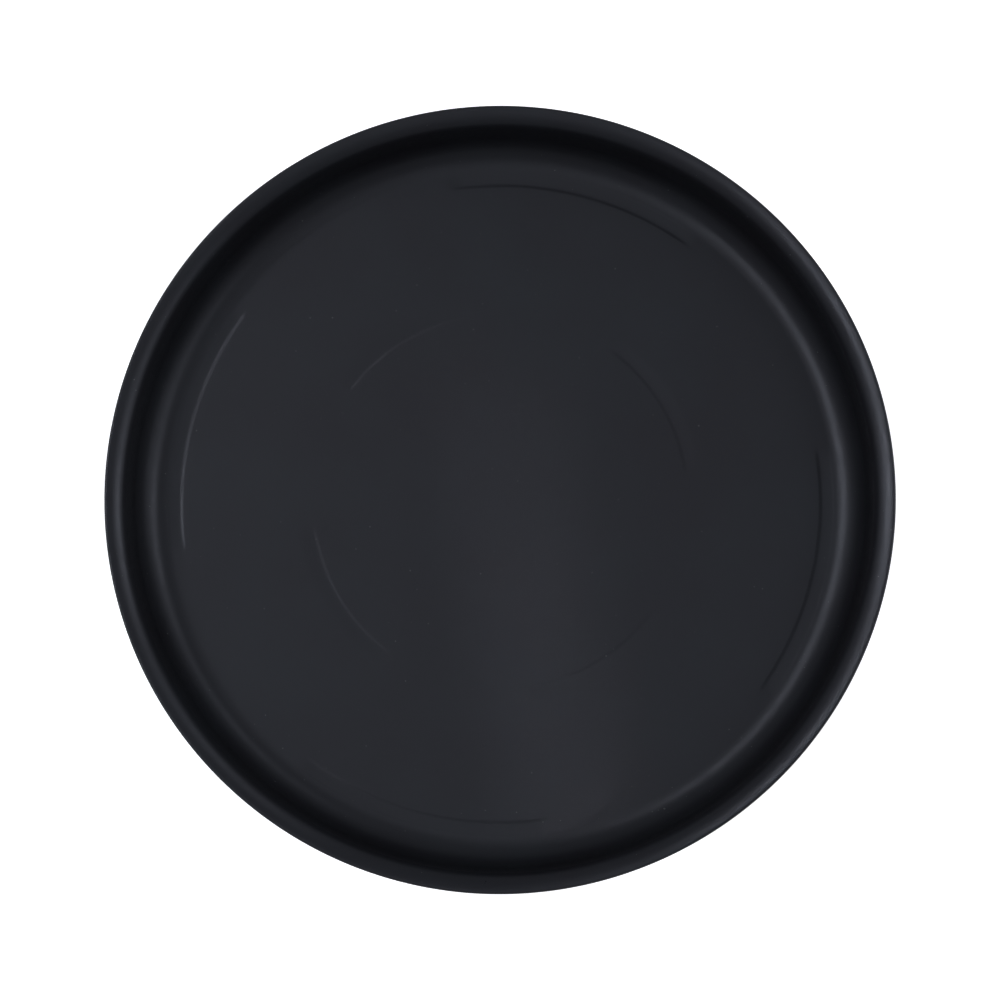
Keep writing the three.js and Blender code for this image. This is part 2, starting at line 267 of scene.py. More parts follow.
def boolean(base, others, operation):
    """Joins the others to the base, or cuts them from it, and removes them."""
    for other in others:
        modifier = base.modifiers.new("join", "BOOLEAN")
        modifier.operation = operation
        modifier.solver = "MANIFOLD"
        modifier.object = other
    applied(base)
    for other in others:
        bpy.data.objects.remove(other)
    return base


def outward(obj):
    """Turns every face outwards."""
    bm = bmesh.new()
    bm.from_mesh(obj.data)
    bmesh.ops.recalc_face_normals(bm, faces=bm.faces)
    bm.to_mesh(obj.data)
    bm.free()
    return obj


def smooth(obj, sharp_from=SHARP_FROM):
    """Smooth shading, kept crisp along edges that turn by more than sharp_from degrees."""
    bm = bmesh.new()
    bm.from_mesh(obj.data)
    limit = math.radians(sharp_from)
    for face in bm.faces:
        face.smooth = True
    for edge in bm.edges:
        edge.smooth = len(edge.link_faces) == 2 and edge.calc_face_angle(0.0) < limit
    bm.to_mesh(obj.data)
    bm.free()
    return obj


def bevelled(obj, width, segments=2):
    modifier = obj.modifiers.new("edges", "BEVEL")
    modifier.width = width
    modifier.segments = segments
    modifier.limit_method = "ANGLE"
    modifier.angle_limit = math.radians(SHARP_FROM)
    modifier.use_clamp_overlap = True
    return applied(obj)


# ---------------------------------------------------------------- materials


def material(name):
    """A new material with its nodes, links and shader."""
    made = bpy.data.materials.new(name)
    made.use_nodes = True
    nodes = made.node_tree.nodes
    shader = nodes["Principled BSDF"]
    return made, nodes, made.node_tree.links, shader


def noise(nodes, links, coordinates, scale, detail=4.0, roughness=0.6):
    """A noise value; scale is in features per metre."""
    node = nodes.new("ShaderNodeTexNoise")
    node.inputs["Scale"].default_value = scale
    node.inputs["Detail"].default_value = detail
    node.inputs["Roughness"].default_value = roughness
    links.new(coordinates, node.inputs["Vector"])
    return node.outputs["Fac"]


def ramp(nodes, links, value, stops):
    """A colour picked from (position, colour) stops by a value."""
    node = nodes.new("ShaderNodeValToRGB")
    elements = node.color_ramp.elements
    while len(elements) < len(stops):
        elements.new(0.5)
    for element, (position, color) in zip(elements, stops):
        element.position = position
        element.color = (*color, 1.0)
    links.new(value, node.inputs["Fac"])
    return node.outputs["Color"]


def mapped(nodes, links, value, from_low, from_high, to_low, to_high):
    """A value moved from one range to another, held at its ends."""
    node = nodes.new("ShaderNodeMapRange")
    for socket, number in zip(
        ("From Min", "From Max", "To Min", "To Max"), (from_low, from_high, to_low, to_high)
    ):
        node.inputs[socket].default_value = number
    links.new(value, node.inputs["Value"])
    return node.outputs["Result"]


def combined(nodes, links, operation, first, second):
    """Two values under one arithmetic operation."""
    node = nodes.new("ShaderNodeMath")
    node.operation = operation
    links.new(first, node.inputs[0])
    links.new(second, node.inputs[1])
    return node.outputs["Value"]


RUBBED_SHARE = 0.88  # of the roughness, where the grain is rubbed smoother
RUBBED_RISE = 4 * MM  # height over which the rubbing sets in
NEVER_WORN = 1.0  # a height above every piece
DUST_COLOR = (0.16, 0.16, 0.15, 1.0)
DUST_LEVELS = 0.86, 0.90  # noise levels from no dust to most dust
DUST_COVER = 0.6
TINT_LOW = (0.93, 0.86, 0.89)  # shares of a colour at the darkest of its mottling
TINT_HIGH = (1.04, 1.12, 1.12)
SHEEN_SWING = 0.03  # of the roughness, over a few centimetres
MOTTLE_SWING = 0.035  # of the roughness, over a few millimetres
STEEL_SWING = 0.07


def worn(nodes, links, place, roughness, from_height):
    """Roughness that falls above a height, where hands and pots have rubbed the grain smoother."""
    split = nodes.new("ShaderNodeSeparateXYZ")
    links.new(place, split.inputs["Vector"])
    height = split.outputs["Z"]
    full = from_height + RUBBED_RISE
    rubbed = mapped(nodes, links, height, from_height, full, 1.0, RUBBED_SHARE)
    return combined(nodes, links, "MULTIPLY", roughness, rubbed)


def dusted(nodes, links, place, tint):
    """A colour with a few pale specks of dust, each under a millimetre across."""
    dust = noise(nodes, links, place, 700.0, 0.0)
    mix = nodes.new("ShaderNodeMix")
    mix.data_type = "RGBA"
    cover = mapped(nodes, links, dust, *DUST_LEVELS, 0.0, DUST_COVER)
    links.new(cover, mix.inputs["Factor"])
    # Inputs 6 and 7 and output 2 are the node's colours; those before them are for other types.
    links.new(tint, mix.inputs[6])
    mix.inputs[7].default_value = DUST_COLOR
    return mix.outputs[2]


def moulded_plastic(name, color, roughness, grain_height, worn_above=NEVER_WORN):
    """Black moulded plastic: mottled colour, uneven sheen and a fine spark-eroded grain."""
    made, nodes, links, shader = material(name)
    place = nodes.new("ShaderNodeTexCoord").outputs["Object"]
    cloud = noise(nodes, links, place, 14.0)
    low = tuple(share * c for share, c in zip(TINT_LOW, color))
    high = tuple(share * c for share, c in zip(TINT_HIGH, color))
    tint = ramp(nodes, links, cloud, [(0.35, low), (0.65, high)])
    links.new(dusted(nodes, links, place, tint), shader.inputs["Base Color"])
    wiped = noise(nodes, links, place, 30.0, 6.0, 0.65)
    low, high = roughness - SHEEN_SWING, roughness + SHEEN_SWING
    sheen = mapped(nodes, links, wiped, 0.35, 0.65, low, high)
    blotches = noise(nodes, links, place, 320.0)
    mottle = mapped(nodes, links, blotches, 0.3, 0.7, -MOTTLE_SWING, MOTTLE_SWING)
    sheen = combined(nodes, links, "ADD", sheen, mottle)
    links.new(worn(nodes, links, place, sheen, worn_above), shader.inputs["Roughness"])
    grain = noise(nodes, links, place, 900.0, 4.0, 0.7)
    bump = nodes.new("ShaderNodeBump")
    bump.inputs["Strength"].default_value = 1.0
    bump.inputs["Distance"].default_value = grain_height
    links.new(grain, bump.inputs["Height"])
    links.new(bump.outputs["Normal"], shader.inputs["Normal"])
    return made


def plain_steel(name, dark, light, roughness):
    """Bare or plated steel with a faint cloudiness."""
    made, nodes, links, shader = material(name)
    place = nodes.new("ShaderNodeTexCoord").outputs["Object"]
    cloud = noise(nodes, links, place, 220.0)
    tint = ramp(nodes, links, cloud, [(0.3, dark), (0.7, light)])
    links.new(tint, shader.inputs["Base Color"])
    low, high = roughness - STEEL_SWING, roughness + STEEL_SWING
    sheen = mapped(nodes, links, cloud, 0.3, 0.7, low, high)
    links.new(sheen, shader.inputs["Roughness"])
    shader.inputs["Metallic"].default_value = 1.0
    return made


deck_plastic = moulded_plastic(
    "deck_plastic", (0.0120, 0.0122, 0.0135), 0.37, 0.03 * MM, worn_above=RIM_TOP - 8 * MM
)
hood_plastic = moulded_plastic("hood_plastic", (0.0160, 0.0163, 0.0180), 0.38, 0.03 * MM)
wheel_nylon = moulded_plastic("wheel_nylon", (0.0210, 0.0210, 0.0220), 0.30, 0.01 * MM)
tread_nylon = moulded_plastic("tread_nylon", (0.0300, 0.0295, 0.0285), 0.52, 0.05 * MM)
steel = plain_steel("zinc_plated_steel", (0.52, 0.53, 0.55), (0.70, 0.71, 0.73), 0.31)
spring_steel = plain_steel("spring_steel", (0.26, 0.26, 0.27), (0.36, 0.36, 0.37), 0.34)


def finished(obj, surfaces, body, node):
    """Gives a piece its materials and its body, and hides the CAD node that it stands for."""
    obj.data.materials.clear()
    for surface in surfaces:
        obj.data.materials.append(surface)
    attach(obj, body)
    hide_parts(node)


# ---------------------------------------------------------------- deck

# A sink mark falls steeply inside the wall under it and rises back slowly outside.
MARK_INSET = 0.6 * MM  # from the middle of the wall to the middle of the steep flank
MARK_DEPTH = 0.32 * MM
MARK_FLANK = 1.2 * MM  # half the width of the steep flank
MARK_TAIL = 8 * MM
MARK_END = 2.0  # degrees over which a mark fades at each end
MARKS = [  # radius, middles in degrees, share of the full depth
    (LOBE_RADIUS, [i * 360 / LOBES for i in range(LOBES)], 1.0),
    (BAY_RADIUS, [(i + 0.5) * 360 / LOBES for i in range(LOBES)], 0.5),
]
PLATE_MIDDLE = PLATE_TOP - WALL / 2
SKIRT_MIDDLE = DECK_RADIUS - SKIRT_WALL / 2


def sink_marks(radius, height, angles):
    """How far the plate sinks over the arcs of the wall moulded under it."""
    lift = np.zeros(len(angles))
    if height < PLATE_TOP - 1e-6 or radius > PLATE_RADIUS:
        return lift
    for mark_radius, middles, share in MARKS:
        inside = radius - (mark_radius - MARK_INSET - MARK_FLANK)
        if inside <= 0 or inside >= MARK_FLANK * 2 + MARK_TAIL:
            continue
        if inside < 2 * MARK_FLANK:
            across = 0.5 - 0.5 * math.cos(math.pi * inside / (2 * MARK_FLANK))
        else:
            across = 0.5 + 0.5 * math.cos(math.pi * (inside - 2 * MARK_FLANK) / MARK_TAIL)
        for middle in middles:
            away = np.abs((np.degrees(angles) - middle + 180) % 360 - 180)
            along = np.clip((LOBE_HALF_ANGLE + 0.4 - away) / MARK_END, 0, 1)
            lift -= MARK_DEPTH * share * across * along * along * (3 - 2 * along)
    return lift


def arc_ending(end, radius, start_tilt, end_tilt, steps):
    """A convex arc of the rim that ends at a point; tilts are the surface's, from level."""
    turn = math.radians(90 + end_tilt)
    centre = end[0] - radius * math.cos(turn), end[1] - radius * math.sin(turn)
    return arc(*centre, radius, 90 + start_tilt, 90 + end_tilt, steps)


def rim_top():
    """The rim's (radius, height) points from its steep wall over crest and lip to the skirt."""
    edge_x = DECK_RADIUS - SKIRT_DRAFT - EDGE_RADIUS
    edge = arc(edge_x, RIM_TOP - EDGE_RADIUS, EDGE_RADIUS, 90 + LIP_TILT, 0, 12)
    lip = arc_ending(edge[0], LIP_RADIUS, CREST_TILT, LIP_TILT, 14)
    crest = arc_ending(lip[0], CREST_RADIUS, RIM_WALL_TILT, CREST_TILT, 16)
    return crest + lip[1:] + edge[1:]


def plate_radius():
    """Radius of the flat plate: the rim wall's foot less the cove."""
    wall = math.radians(RIM_WALL_TILT)
    top_radius, top_height = rim_top()[0]
    wall_height = top_height - PLATE_TOP - COVE_RADIUS * (1 - math.cos(wall))
    return top_radius - wall_height / math.tan(wall) - COVE_RADIUS * math.sin(wall)


PLATE_RADIUS = plate_radius()


def cove_arc(radius, steps):
    """An arc about the cove's centre, from below the plate's edge up to the rim wall."""
    return arc(PLATE_RADIUS, PLATE_TOP + COVE_RADIUS, radius, -90, RIM_WALL_TILT - 90, steps)


def deck_shell():
    """The plate, cove, rim and skirt in one turned shell, with the sink marks on the plate."""
    foot_height = SKIRT_FOOT + FOOT_ROUNDING
    foot_outside = DECK_RADIUS - FOOT_ROUNDING
    foot_inside = DECK_RADIUS - SKIRT_WALL + FOOT_ROUNDING
    foot = [
        *arc(foot_outside, foot_height, FOOT_ROUNDING, 0, -90, 5),
        *arc(foot_inside, foot_height, FOOT_ROUNDING, -90, -180, 5),
    ]
    under = cove_arc(COVE_RADIUS + WALL, 24)[::-1]
    groove_top = RIM_TOP - RIM_GROOVE_DEPTH
    wall_top = under[0][0] + (groove_top - under[0][1]) / math.tan(math.radians(RIM_WALL_TILT))
    skirt_share = (groove_top - SKIRT_FOOT) / (RIM_TOP - SKIRT_FOOT)
    skirt_inside = DECK_RADIUS - SKIRT_WALL - SKIRT_DRAFT * skirt_share
    # The plate's rings are close together only over the marks.
    plain = np.arange(0, PLATE_RADIUS, 8 * MM)
    fine = [np.arange(r - 2 * MM, r + 11 * MM, 0.4 * MM) for r, _, _ in MARKS]
    plate = np.unique(np.round(np.concatenate([plain, *fine]), 7))
    plate = plate[plate < PLATE_RADIUS - 0.5 * MM]
    section = [(r, PLATE_TOP) for r in plate] + cove_arc(COVE_RADIUS, 40) + rim_top() + foot
    section += [(skirt_inside, groove_top), (wall_top, groove_top), *under]
    section.append((0.0, PLATE_TOP - WALL))
    return lathe("deck_moulding", section[::-1], DECK_SEGMENTS, sink_marks)


def under_deck_space():
    """Everything below the middle of the deck's wall, used to trim the ribs."""
    cove = cove_arc(COVE_RADIUS + WALL / 2, 24)[::-1]
    section = [
        (0.0, SKIRT_FOOT),
        (SKIRT_MIDDLE, SKIRT_FOOT),
        (SKIRT_MIDDLE - SKIRT_DRAFT, cove[0][1]),
        *cove,
        (0.0, PLATE_MIDDLE),
    ]
    return lathe("under_deck", section, DECK_SEGMENTS)


def lobed_path(offset, height, steps=24):
    """The lobed outline, moved outwards by offset, as one closed loop at a height."""
    half = math.radians(LOBE_HALF_ANGLE)
    pitch = 2 * math.pi / LOBES
    points = []
    for lobe in range(LOBES):
        middle = lobe * pitch
        arcs = (LOBE_RADIUS, middle, 1), (BAY_RADIUS, middle + pitch / 2, -1)
        for radius, centre, sign in arcs:
            moved = radius + offset
            reach = half + sign * math.asin(offset / moved)
            for t in np.linspace(-1, 1, steps + 1):
                angle = centre + t * reach
                points.append((moved * math.cos(angle), moved * math.sin(angle), height))
    return points


def rib_section(width, foot, top):
    """Half-widths and heights round a rib's section, rounded at its foot, thicker at its root."""
    half = width / 2
    root = half + RIB_ROOT_EXTRA
    left = arc(-half + RIB_ROUNDING, foot + RIB_ROUNDING, RIB_ROUNDING, 180, 270, 4)
    right = arc(half - RIB_ROUNDING, foot + RIB_ROUNDING, RIB_ROUNDING, 270, 360, 4)
    return [(-root, top), *left, *right, (root, top)]


def lobed_wall():
    section = rib_section(LOBE_WALL, SKIRT_FOOT, PLATE_MIDDLE)
    return outward(swept_ring("lobed_wall", [lobed_path(o, z) for o, z in section]))


def straight_rib(name, start, end, foot, top):
    """A rib standing on the line from start to end, in XY."""
    start, end = Vector((*start, 0)), Vector((*end, 0))
    along = (end - start).normalized()
    across = Vector((-along.y, along.x, 0))
    matrix = Matrix((across, Vector((0, 0, 1)), along)).transposed().to_4x4()
    matrix.translation = start
    section = rib_section(THIN_RIB, foot, top)
    return outward(extruded(name, section, 0, (end - start).length, matrix))


def deck_ribs():
    """The straight ribs, joined and trimmed to the inside of the shell."""
    reach = CASTER_CIRCLE * math.sin(math.radians(LOBE_HALF_ANGLE))
    ribs = []
    for i in range(LOBES):
        lobe = i * 360 / LOBES
        bay = lobe + 180 / LOBES
        if i < LOBES / 2:
            ends = polar(-LOBE_RADIUS, lobe), polar(LOBE_RADIUS, lobe)
            ribs.append(straight_rib("cross_rib", *ends, CROSS_RIB_FOOT, PLATE_MIDDLE))
        for side in SHORT_RIB_ANGLES:
            ends = polar(LOBE_RADIUS, lobe + side), polar(SKIRT_MIDDLE, lobe + side)
            ribs.append(straight_rib("short_rib", *ends, SHORT_RIB_FOOT, RIM_TOP))
        ends = polar(BAY_RADIUS, bay), polar(SKIRT_MIDDLE, bay)
        ribs.append(straight_rib("bay_rib", *ends, BAY_RIB_FOOT, RIM_TOP))
        centre = Vector(polar(CASTER_CIRCLE, bay))
        across = Vector(polar(reach, bay + 90))
        ends = centre - across, centre + across
        ribs.append(straight_rib("boss_rib", *ends, BAY_RIB_FOOT, PLATE_MIDDLE))
    return boolean(boolean(ribs[0], ribs[1:], "UNION"), [under_deck_space()], "INTERSECT")


def turned_at(name, profile, centre):
    made = lathe(name, profile, TURNED_SEGMENTS)
    made.data.transform(Matrix.Translation((centre.x, centre.y, 0)))
    return made


def deck_moulding():
    """The whole deck: shell, lobed wall, ribs and four bosses with their sockets."""
    boss_foot = COLLAR_TOP + FIT_GAP
    boss = [
        (0.0, boss_foot),
        *arc(BOSS_RADIUS - BOSS_ROUNDING, boss_foot + BOSS_ROUNDING, BOSS_ROUNDING, -90, 0, 5),
        (BOSS_RADIUS + BOSS_ROOT_EXTRA, PLATE_MIDDLE),
        (0.0, PLATE_MIDDLE),
    ]
    socket = [
        (0.0, boss_foot - SOCKET_LEAD),
        (SOCKET_RADIUS + 2 * SOCKET_LEAD, boss_foot - SOCKET_LEAD),
        (SOCKET_RADIUS, boss_foot + SOCKET_LEAD),
        (SOCKET_RADIUS, SOCKET_TOP),
        (0.0, SOCKET_TOP),
    ]
    bosses = [turned_at("boss", boss, c) for c in SWIVELS.values()]
    sockets = [turned_at("socket", socket, c) for c in SWIVELS.values()]
    structure = boolean(lobed_wall(), [deck_ribs(), *bosses], "UNION")
    deck = boolean(deck_shell(), [structure], "UNION")
    return smooth(boolean(deck, sockets, "DIFFERENCE"))


finished(deck_moulding(), [deck_plastic], "deck", "deck")

# ---------------------------------------------------------------- casters


def chamfered_groove(radius, depth_radius, low, high, ease):
    """Points of a groove in a turned pin, with eased shoulders."""
    return [
        (radius, low - ease),
        (radius - ease, low),
        (depth_radius, low),
        (depth_radius, high),
        (radius - ease, high),
        (radius, high + ease),
    ]


def stem_mesh():
    """The pin with its collar, the groove the hood snaps into and the groove for the ring."""
    rounding = 0.7 * MM
    ease = 0.15 * MM
    collar_edge = 0.35 * MM
    tip = STEM_RADIUS - rounding
    lip = COLLAR_RADIUS - collar_edge
    snap = SNAP_HEIGHT - SNAP_HALF_HEIGHT, SNAP_HEIGHT + SNAP_HALF_HEIGHT
    profile = [
        (0.0, stem_low.z),
        *arc(tip, stem_low.z + rounding, rounding, -90, 0, 6),
        *chamfered_groove(STEM_RADIUS, SNAP_RADIUS, *snap, ease),
        (STEM_RADIUS, COLLAR_BOTTOM),
        *arc(lip, COLLAR_BOTTOM + collar_edge, collar_edge, -90, 0, 4),
        *arc(lip, COLLAR_TOP - collar_edge, collar_edge, 0, 90, 4),
        (STEM_RADIUS + ease, COLLAR_TOP),
        (STEM_RADIUS, COLLAR_TOP + ease),
        *chamfered_groove(STEM_RADIUS, RING_GROOVE_RADIUS, *RING_GROOVE, ease),
        *arc(tip, stem_high.z - rounding, rounding, 0, 90, 6),
        (0.0, stem_high.z),
    ]
    return smooth(outward(lathe("stem", profile, TURNED_SEGMENTS)))


def grip_ring_mesh():
    """A split spring ring whose outside bulges a little where it grips the socket."""
    inside = RING_GROOVE_RADIUS + 0.15 * MM
    outside = ring_high.y
    bulge = 0.2 * MM
    low, high = ring_low.z, ring_high.z
    bow = [
        (outside - bulge + bulge * math.sin(math.pi * t), low + (high - low) * t)
        for t in np.linspace(0, 1, 9)
    ]
    section = [(inside, low), *bow, (inside, high)]
    count, steps = len(section), 72
    opening = 20  # degrees on each side of the split
    vertices, faces = [], []
    for angle in np.linspace(opening, 360 - opening, steps + 1):
        # The ring opens towards the front of its caster (-Y).
        vertices.extend((*polar(radius, angle - 90), height) for radius, height in section)
    for step in range(steps):
        a, b = step * count, (step + 1) * count
        faces += [(a + i, a + (i + 1) % count, b + (i + 1) % count, b + i) for i in range(count)]
    faces += end_caps(count, steps)
    return smooth(outward(new_object("grip_ring", vertices, faces)), 25)


def fender():
    """The shell over both wheels: crowned outside, with a bead along each side edge."""
    half = HOOD_HALF_WIDTH
    outer = HOOD_INNER_RADIUS + HOOD_SHELL
    corner = 0.9 * MM
    crown = 0.25 * MM
    bead_width, bead_height = 2.2 * MM, 0.35 * MM
    step = half - bead_width
    top = [(step * t, outer - bead_height - crown * t * t) for t in np.linspace(1, -1, 13)]
    right = arc(half - corner, outer - corner, corner, 0, 90, 6)
    left = arc(-half + corner, outer - corner, corner, 90, 180, 6)
    ease = 0.4 * MM
    section = [
        (half - ease, HOOD_INNER_RADIUS),
        (half, HOOD_INNER_RADIUS + ease),
        *right,
        (step + bead_height, outer),
        *top,
        (-step - bead_height, outer),
        *left,
        (-half, HOOD_INNER_RADIUS + ease),
        (-half + ease, HOOD_INNER_RADIUS),
    ]
    return swept_arc("fender", section, AXLE_CENTRE, -HOOD_OVERHANG, 180 + HOOD_OVERHANG, 72)


def hood_web():
    """The upright plate between the wheels, from the fender down past the axle."""
    reach = HOOD_INNER_RADIUS + HOOD_SHELL / 2
    outline = [
        *arc(*AXLE_CENTRE, reach, -HOOD_OVERHANG, 180 + HOOD_OVERHANG, 64),
        *arc(*AXLE_CENTRE, HOOD_HUB_RADIUS, 180 + HOOD_OVERHANG, 360 - HOOD_OVERHANG, 24),
    ]
    upright = Matrix(((0, 0, 1, 0), (1, 0, 0, 0), (0, 1, 0, 0), (0, 0, 0, 1)))
    web = extruded("web", outline, -WEB_HALF_WIDTH, WEB_HALF_WIDTH, upright)
    return bevelled(outward(web), 0.6 * MM, 3)


def hood_mesh():
    """Fender, web and stem boss in one, with the holes for the stem and the axle."""
    ease = 0.5 * MM
    boss_foot = hood_high.z - HOOD_BOSS_HEIGHT
    column_foot = STEM_HOLE_BOTTOM - STEM_HOLE_FLOOR
    # Below the boss, the column round the stem is as thick as the web, to pass between the wheels.
    boss = lathe("boss", [
        (0.0, column_foot),
        (WEB_HALF_WIDTH - ease, column_foot),
        (WEB_HALF_WIDTH, column_foot + ease),
        (WEB_HALF_WIDTH, boss_foot - 1.5 * MM),
        (COLLAR_RADIUS, boss_foot + 0.5 * MM),
        *arc(COLLAR_RADIUS - ease, hood_high.z - ease, ease, 0, 90, 5),
        (0.0, hood_high.z),
    ], TURNED_SEGMENTS)
    above = hood_high.z + 1 * MM
    bead = 0.5 * MM
    bead_radius = SNAP_RADIUS + 0.3 * MM
    stem_hole = lathe("stem_hole", [
        (0.0, STEM_HOLE_BOTTOM),
        (STEM_HOLE_RADIUS, STEM_HOLE_BOTTOM),
        (STEM_HOLE_RADIUS, SNAP_HEIGHT - bead),
        (bead_radius, SNAP_HEIGHT - bead / 2),
        (bead_radius, SNAP_HEIGHT + bead / 2),
        (STEM_HOLE_RADIUS, SNAP_HEIGHT + bead),
        (STEM_HOLE_RADIUS, above),
        (0.0, above),
    ], TURNED_SEGMENTS)
    past = WEB_HALF_WIDTH + 1 * MM
    axle_hole = along_x(lathe("axle_hole", [
        (0.0, -past), (BORE_RADIUS, -past), (BORE_RADIUS, past), (0.0, past),
    ], PIN_SEGMENTS), 0.0, AXLE_CENTRE)
    body = boolean(outward(fender()), [hood_web(), outward(boss)], "UNION")
    return smooth(boolean(body, [outward(stem_hole), outward(axle_hole)], "DIFFERENCE"), 28)


def axle_mesh():
    """A chamfered pin with a centre mark in each end."""
    chamfer = 0.4 * MM
    mark_radius = 0.8 * MM
    half = AXLE_HALF_LENGTH
    profile = [
        (0.0, -half + chamfer),
        (mark_radius, -half),
        (AXLE_RADIUS - chamfer, -half),
        (AXLE_RADIUS, -half + chamfer),
        (AXLE_RADIUS, half - chamfer),
        (AXLE_RADIUS - chamfer, half),
        (mark_radius, half),
        (0.0, half - chamfer),
    ]
    return smooth(along_x(outward(lathe("axle", profile, PIN_SEGMENTS)), 0.0, AXLE_CENTRE))


def wheel_mesh(flipped):
    """A wheel from its inner face outwards: blind bore, crowned tread, dished ribbed outside."""
    shoulder, inner_ease, crown = 2 * MM, 1 * MM, 0.12 * MM
    dish, ease = 1.6 * MM, 0.5 * MM
    inner_dish = 0.8 * MM
    hub_inset = 0.4 * MM
    hub_pit = 0.9 * MM
    rim = WHEEL_RADIUS - shoulder - 1.5 * MM
    width = WHEEL_WIDTH
    tread_low, tread_high = inner_ease, width - shoulder
    tread = [
        (WHEEL_RADIUS - crown * (2 * t - 1) ** 2, tread_low + (tread_high - tread_low) * t)
        for t in np.linspace(0, 1, 7)
    ]
    profile = [
        (0.0, BORE_DEPTH),
        (BORE_RADIUS, BORE_DEPTH),
        (BORE_RADIUS, ease),
        (BORE_RADIUS + ease, 0.0),
        (HUB_RADIUS, 0.0),
        (HUB_RADIUS + ease, inner_dish),
        (rim - ease, inner_dish),
        (rim, 0.0),
        (WHEEL_RADIUS - inner_ease, 0.0),
        *tread,
        *arc(WHEEL_RADIUS - shoulder, width - shoulder, shoulder - crown, 8, 90, 10),
        *arc(rim + ease, width - crown - ease, ease, 90, 180, 4),
        *arc(rim - ease, width - dish + ease, ease, 0, -90, 4),
        *arc(HUB_RADIUS + ease, width - dish + ease, ease, -90, -180, 4),
        *arc(HUB_RADIUS - ease, width - hub_inset - ease, ease, 0, 90, 4),
        (1.6 * MM, width - hub_inset),
        (1.2 * MM, width - hub_pit),
        (0.0, width - hub_pit),
    ]
    wheel = outward(lathe("wheel", profile, WHEEL_SEGMENTS))
    half = 0.8 * MM
    start, end = HUB_RADIUS - ease, rim + ease
    outline = [(start, -half), (end, -half), (end, half), (start, half)]
    low, high = width - dish - ease, width - 0.7 * MM
    ribs = []
    for i in range(SPOKES):
        turn = Matrix.Rotation(i * 2 * math.pi / SPOKES, 4, "Z")
        ribs.append(bevelled(outward(extruded("spoke", outline, low, high, turn)), 0.25 * MM))
    wheel = smooth(boolean(wheel, ribs, "UNION"), 30)
    tread_from = WHEEL_RADIUS - 1.2 * MM  # outside this radius the surface is worn
    for polygon in wheel.data.polygons:
        polygon.material_index = int(polygon.center.xy.length > tread_from)
    return along_x(wheel, WHEEL_INNER_FACE, AXLE_CENTRE, flipped)


def caster_pieces():
    """Each piece of one caster: name, mesh object, materials, slot and the body it rides on."""
    wheel_surfaces = [wheel_nylon, tread_nylon]
    return [
        ("stem", stem_mesh(), [steel], "steel", "deck"),
        ("grip_ring", grip_ring_mesh(), [spring_steel], "steel", "deck"),
        ("hood", hood_mesh(), [hood_plastic], "hood", "{corner}_caster"),
        ("axle", axle_mesh(), [steel], "steel", "{corner}_caster"),
        ("left_wheel", wheel_mesh(False), wheel_surfaces, "wheel", "{corner}_left_wheel"),
        ("right_wheel", wheel_mesh(True), wheel_surfaces, "wheel", "{corner}_right_wheel"),
    ]


def casters():
    """Copies the pieces of the model caster to every swivel."""
    for piece, model, surfaces, slot, body in caster_pieces():
        for corner, swivel in SWIVELS.items():
            name = f"{corner}_caster_{piece}"
            copy = bpy.data.objects.new(f"fine_{name}", model.data.copy())
            bpy.context.scene.collection.objects.link(copy)
            copy.data.transform(Matrix.Translation((swivel.x, swivel.y, 0)))
            finished(copy, surfaces, body.format(corner=corner), name)
        bpy.data.objects.remove(model)


casters()

# ---------------------------------------------------------------- stage, lights and camera


def stage_floor():
    """A wide sheet of pale paper that glows enough to stay white."""
    half_width = 20.0
    grid = 24
    steps = np.linspace(-half_width, half_width, grid + 1)
    vertices = [(x, y, 0.0) for y in steps for x in steps]
    row = grid + 1
    faces = [
        (j * row + i, j * row + i + 1, (j + 1) * row + i + 1, (j + 1) * row + i)
        for j in range(grid)
        for i in range(grid)
    ]
    floor = new_object("studio_floor", vertices, faces)
    made, nodes, links, shader = material("floor_paper")
    place = nodes.new("ShaderNodeTexCoord").outputs["Object"]
    cloud = noise(nodes, links, place, 60.0)
    tint = ramp(nodes, links, cloud, [(0.3, (0.90, 0.90, 0.90)), (0.7, (0.92, 0.92, 0.92))])
    links.new(tint, shader.inputs["Base Color"])
    shader.inputs["Roughness"].default_value = 0.9
    shader.inputs["Emission Color"].default_value = (1, 1, 1, 1)
    shader.inputs["Emission Strength"].default_value = 1.0
    floor.data.materials.append(made)


CAMERA_ROLL = 13.75  # degrees from the deck's +X to the picture's right, anticlockwise
CAMERA_ELEVATION = 84.8
CAMERA_SIDE = -78.0  # picture direction that the camera leans towards
CAMERA_DISTANCE = 1.2
PICTURE_WIDTH = 502.5 * MM  # at the rim
AIM_RIGHT, AIM_DOWN = 0.6 * MM, 3.0 * MM  # from the rim's centre, in the picture


def picture_direction(degrees):
    """A level direction given as an anticlockwise angle from the picture's right."""
    return Vector((*polar(1.0, degrees + CAMERA_ROLL), 0.0))


def camera():
    """A camera over the rim, whose picture is PICTURE_WIDTH wide at the rim's height."""
    target = Vector((0, 0, RIM_TOP))
    target += picture_direction(0) * AIM_RIGHT + picture_direction(-90) * AIM_DOWN
    tilt = math.radians(90 - CAMERA_ELEVATION)
    back = Vector((0, 0, math.cos(tilt))) + picture_direction(CAMERA_SIDE) * math.sin(tilt)
    data = bpy.data.cameras.new("camera")
    data.sensor_width = 36.0
    data.lens = data.sensor_width * CAMERA_DISTANCE / PICTURE_WIDTH
    made = bpy.data.objects.new("camera", data)
    bpy.context.scene.collection.objects.link(made)
    up = back.cross(picture_direction(0)).normalized()
    right = up.cross(back)
    matrix = Matrix((right, up, back)).transposed().to_4x4()
    matrix.translation = target + back * CAMERA_DISTANCE
    made.matrix_world = matrix
    bpy.context.scene.camera = made


COOL = (0.95, 1.0, 1.18)  # the colour of every light
ROOM_LIGHT = 0.185
FAR = 4.5  # metres from the plate's centre to a light
NEAR = 2.4
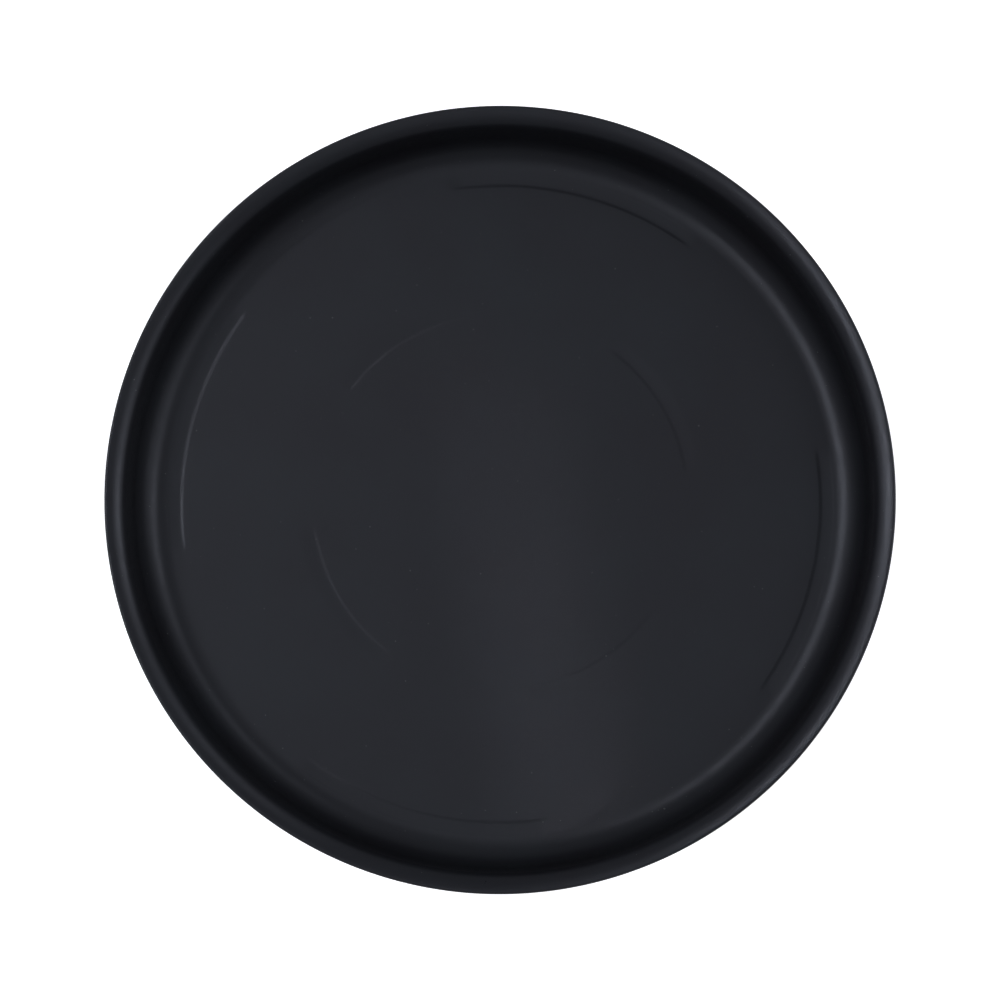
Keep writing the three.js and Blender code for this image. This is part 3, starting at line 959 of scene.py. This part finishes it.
# Narrow beams from the left, each aimed past the centre so that it falls on the rim's far side.
BEAM_REACH = 0.29  # metres from the plate's centre to a beam's aim
BEAM_SPREAD = 7  # degrees
BEAM_WIDTH = 0.6
LEFT_BEAMS = [  # name, direction and angle off vertical in degrees, length, watts
    ("left_upper", 134, 27, 1.6, 0.135),
    ("left_inner", 172, 26, 1.6, 0.148),
    ("left_outer", 172, 35, 2.4, 0.18),
    ("left_lower", 204, 27, 1.6, 0.125),
]
RIGHT_SOFTBOXES = [  # name, direction in degrees, watts
    ("right_lower", -22, 3.0),
    ("right", 12, 10.2),
    ("right_upper", 50, 4.2),
]
SOFTBOX_LEAN = 48  # degrees off vertical
SOFTBOX_SIZE = (1.2, 1.4)


def soft_light(name, direction, from_vertical, distance, size, power, aim=(0, 0), beam=180):
    """An area light at a picture direction and an angle off vertical.

    It points at aim, a (right, up) offset in the picture from the plate's centre. The first of
    its two sizes is level; the second lies in the upright plane through the light and its aim.
    beam is the angle in degrees that its light spreads over.
    """
    data = bpy.data.lights.new(name, "AREA")
    data.shape = "RECTANGLE"
    data.size, data.size_y = size
    data.energy = power
    data.color = COOL
    data.spread = math.radians(beam)
    made = bpy.data.objects.new(name, data)
    bpy.context.scene.collection.objects.link(made)
    lean = math.radians(from_vertical)
    away = Vector((0, 0, math.cos(lean))) + picture_direction(direction) * math.sin(lean)
    plate_centre = Vector((0, 0, PLATE_TOP))
    made.location = plate_centre + away * distance
    target = plate_centre + picture_direction(0) * aim[0] + picture_direction(90) * aim[1]
    made.rotation_euler = (made.location - target).to_track_quat("Z", "Y").to_euler()


stage_floor()
camera()
for name, direction, from_vertical, length, power in LEFT_BEAMS:
    past = polar(BEAM_REACH, direction - 180)
    soft_light(name, direction, from_vertical, FAR, (BEAM_WIDTH, length), power, past, BEAM_SPREAD)
soft_light("left_low_panel", 172, 53, FAR, (0.8, 2.4), 3.0)
for name, direction, power in RIGHT_SOFTBOXES:
    soft_light(name, direction, SOFTBOX_LEAN, FAR, SOFTBOX_SIZE, power)
soft_light("right_low_panel", 0, 62, NEAR, (1.0, 2.0), 2.9)
soft_light("overhead_panel", 270, 10, NEAR, (1.4, 2.2), 2.3)
# A weak, narrow strip of light down the middle of the plate.
soft_light("plate_glow", 282, 5, NEAR, (0.03, 0.26), 0.0007, aim=(0.018, -0.06), beam=2.4)

world = bpy.data.worlds.new("studio")
bpy.context.scene.world = world
world.use_nodes = True
world.node_tree.nodes["Background"].inputs["Color"].default_value = (*COOL, 1)
world.node_tree.nodes["Background"].inputs["Strength"].default_value = ROOM_LIGHT
bpy.context.scene.view_settings.view_transform = "Standard"
